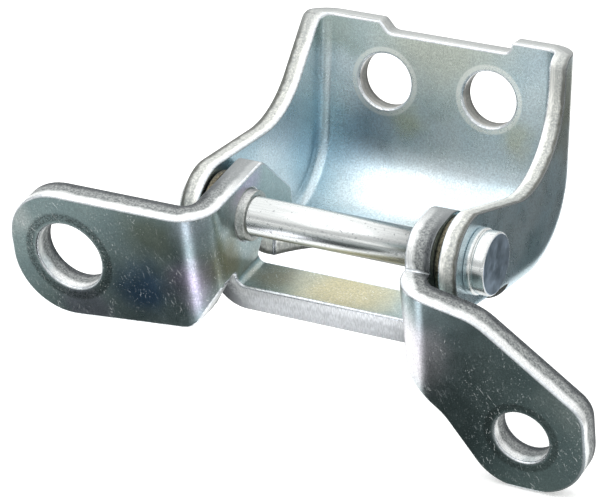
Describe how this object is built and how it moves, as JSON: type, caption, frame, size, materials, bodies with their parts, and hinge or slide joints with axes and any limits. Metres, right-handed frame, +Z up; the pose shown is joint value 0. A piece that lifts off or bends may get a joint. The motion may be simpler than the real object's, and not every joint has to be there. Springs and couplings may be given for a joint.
{
  "type": "car door hinge",
  "caption": "Pressed steel hinge for a car door: a tray-shaped pillar bracket and a saddle with two splayed arms, turning on a riveted pin in flanged bushes.",
  "frame": {"origin": "middle of the two pillar bolt holes, on the face of the back plate that meets the pillar", "axes": "+X along the hinge pin towards its headed end, +Y out of the back plate into the pillar, +Z up the back plate, away from the pin"},
  "size_m": [0.1257, 0.0677, 0.0719],
  "materials": {
    "body_bracket": "bright zinc plated pressing, blue-white with faint lilac and gold",
    "door_bracket": "zinc plated pressing, scuffed",
    "hinge_pin": "zinc plated, drawn and polished",
    "bush": "sintered bronze, dull"
  },
  "bodies": {
    "body": {"body_bracket": "body_bracket", "hinge_pin": "hinge_pin"},
    "door": {"door_bracket": "door_bracket", "left_bush": "bush", "right_bush": "bush"}
  },
  "joints": [
    {"name": "door_swing", "type": "hinge", "parent": "body", "child": "door", "pos_m": [0, -0.0485, -0.017], "axis": [1, 0, 0], "range_deg": [-13.5, 55]}
  ]
}
